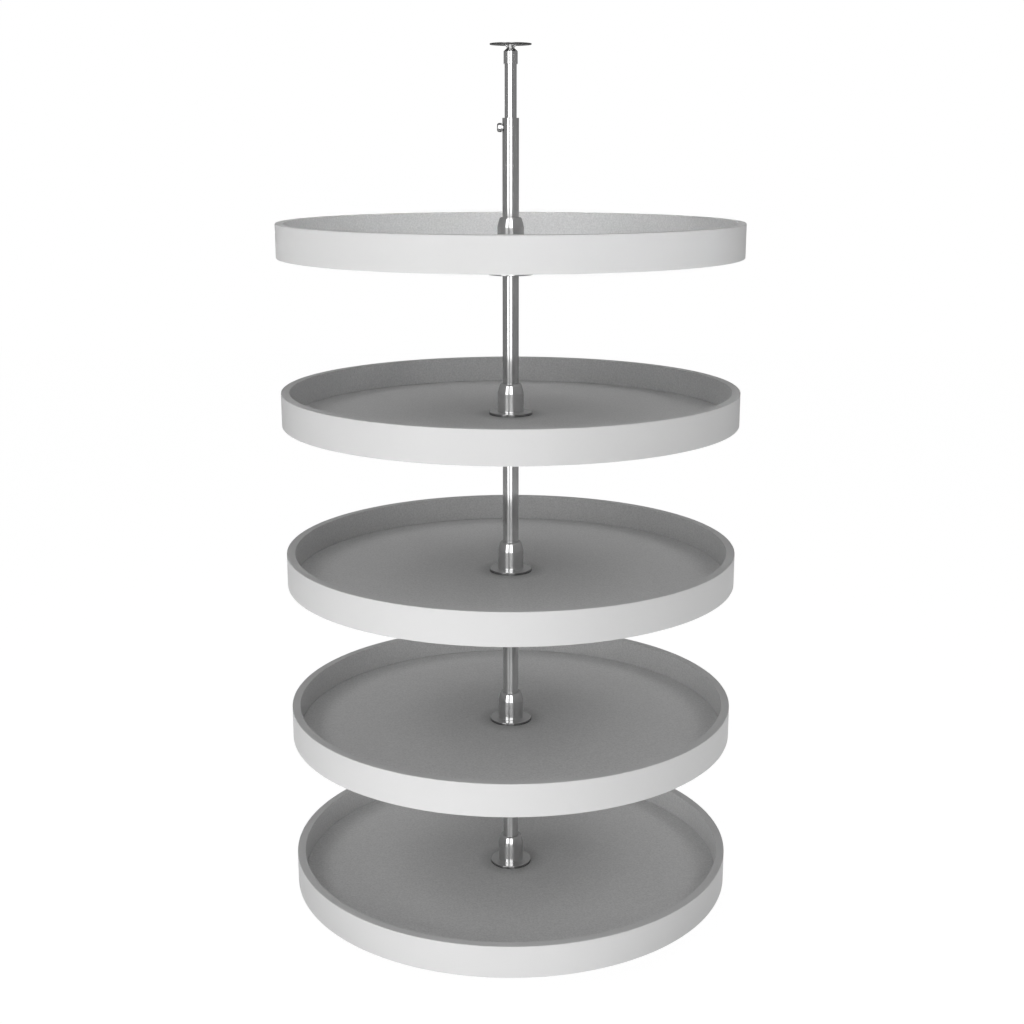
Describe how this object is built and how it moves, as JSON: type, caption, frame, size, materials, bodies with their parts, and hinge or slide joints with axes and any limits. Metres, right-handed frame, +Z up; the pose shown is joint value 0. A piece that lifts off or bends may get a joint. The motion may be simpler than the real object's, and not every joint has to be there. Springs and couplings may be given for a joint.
{
  "type": "revolving larder fitting",
  "caption": "Revolving larder fitting: round rimmed trays that each turn on a chrome telescopic column, with a screw plate at the floor and at the top.",
  "frame": {"origin": "middle of the floor plate's underside, on the column's axis", "axes": "+Z up along the column; the clamp screw points to -X; the picture is taken from -Y"},
  "size_m": [0.71, 0.71, 1.388],
  "materials": {
    "tray_lacquer": "satin off-white lacquer on board",
    "chrome": "polished chrome plating on steel",
    "steel": "plain bright steel",
    "nylon": "black nylon"
  },
  "bodies": {
    "base": {"floor_plate": "chrome", "foot_pivot": "steel", "foot_washer": "nylon"},
    "column": {"outer_tube": "chrome", "foot_plug": "nylon", "guide_bush": "nylon", "clamp_nut": "steel", "tray_1_thrust_washer": "nylon", "tray_1_stop_collar": "steel", "tray_1_collar_screw": "steel", "tray_2_thrust_washer": "nylon", "tray_2_stop_collar": "steel", "tray_2_collar_screw": "steel", "tray_3_thrust_washer": "nylon", "tray_3_stop_collar": "steel", "tray_3_collar_screw": "steel", "tray_4_thrust_washer": "nylon", "tray_4_stop_collar": "steel", "tray_4_collar_screw": "steel", "tray_5_thrust_washer": "nylon", "tray_5_stop_collar": "steel", "tray_5_collar_screw": "steel"},
    "tray_1": {"tray_1_rim": "tray_lacquer", "tray_1_floor": "tray_lacquer", "tray_1_hub": "chrome", "tray_1_hub_cap": "chrome", "tray_1_bush": "nylon", "tray_1_bearing_housing": "chrome"},
    "tray_2": {"tray_2_rim": "tray_lacquer", "tray_2_floor": "tray_lacquer", "tray_2_hub": "chrome", "tray_2_hub_cap": "chrome", "tray_2_bush": "nylon", "tray_2_bearing_housing": "chrome"},
    "tray_3": {"tray_3_rim": "tray_lacquer", "tray_3_floor": "tray_lacquer", "tray_3_hub": "chrome", "tray_3_hub_cap": "chrome", "tray_3_bush": "nylon", "tray_3_bearing_housing": "chrome"},
    "tray_4": {"tray_4_rim": "tray_lacquer", "tray_4_floor": "tray_lacquer", "tray_4_hub": "chrome", "tray_4_hub_cap": "chrome", "tray_4_bush": "nylon", "tray_4_bearing_housing": "chrome"},
    "tray_5": {"tray_5_rim": "tray_lacquer", "tray_5_floor": "tray_lacquer", "tray_5_hub": "chrome", "tray_5_hub_cap": "chrome", "tray_5_bush": "nylon", "tray_5_bearing_housing": "chrome"},
    "mast": {"inner_rod": "chrome", "rod_end_cap": "chrome"},
    "top_mount": {"top_pivot": "chrome", "top_plate": "chrome"},
    "clamp_screw": {"clamp_screw": "chrome"}
  },
  "joints": [
    {"name": "column_spin", "type": "hinge", "parent": "base", "child": "column", "pos_m": [0, 0, 0], "axis": [0, 0, 1], "continuous": true},
    {"name": "tray_1_spin", "type": "hinge", "parent": "column", "child": "tray_1", "pos_m": [0, 0, 1.078], "axis": [0, 0, 1], "continuous": true},
    {"name": "tray_2_spin", "type": "hinge", "parent": "column", "child": "tray_2", "pos_m": [0, 0, 0.8235], "axis": [0, 0, 1], "continuous": true},
    {"name": "tray_3_spin", "type": "hinge", "parent": "column", "child": "tray_3", "pos_m": [0, 0, 0.569], "axis": [0, 0, 1], "continuous": true},
    {"name": "tray_4_spin", "type": "hinge", "parent": "column", "child": "tray_4", "pos_m": [0, 0, 0.3145], "axis": [0, 0, 1], "continuous": true},
    {"name": "tray_5_spin", "type": "hinge", "parent": "column", "child": "tray_5", "pos_m": [0, 0, 0.06], "axis": [0, 0, 1], "continuous": true},
    {"name": "height_adjust", "type": "slide", "parent": "column", "child": "mast", "axis": [0, 0, 1], "range_m": [-0.075, 0.12]},
    {"name": "top_swivel", "type": "hinge", "parent": "mast", "child": "top_mount", "pos_m": [0, 0, 1.3817], "axis": [0, 0, 1], "continuous": true},
    {"name": "clamp_screw_turn", "type": "hinge", "parent": "column", "child": "clamp_screw", "pos_m": [-0.0132, 0, 1.2674], "axis": [-1, 0, 0], "range_deg": [0, 720]}
  ],
  "couplings": [
    {"joint": "top_swivel", "follows": "column_spin", "ratio": -1}
  ]
}
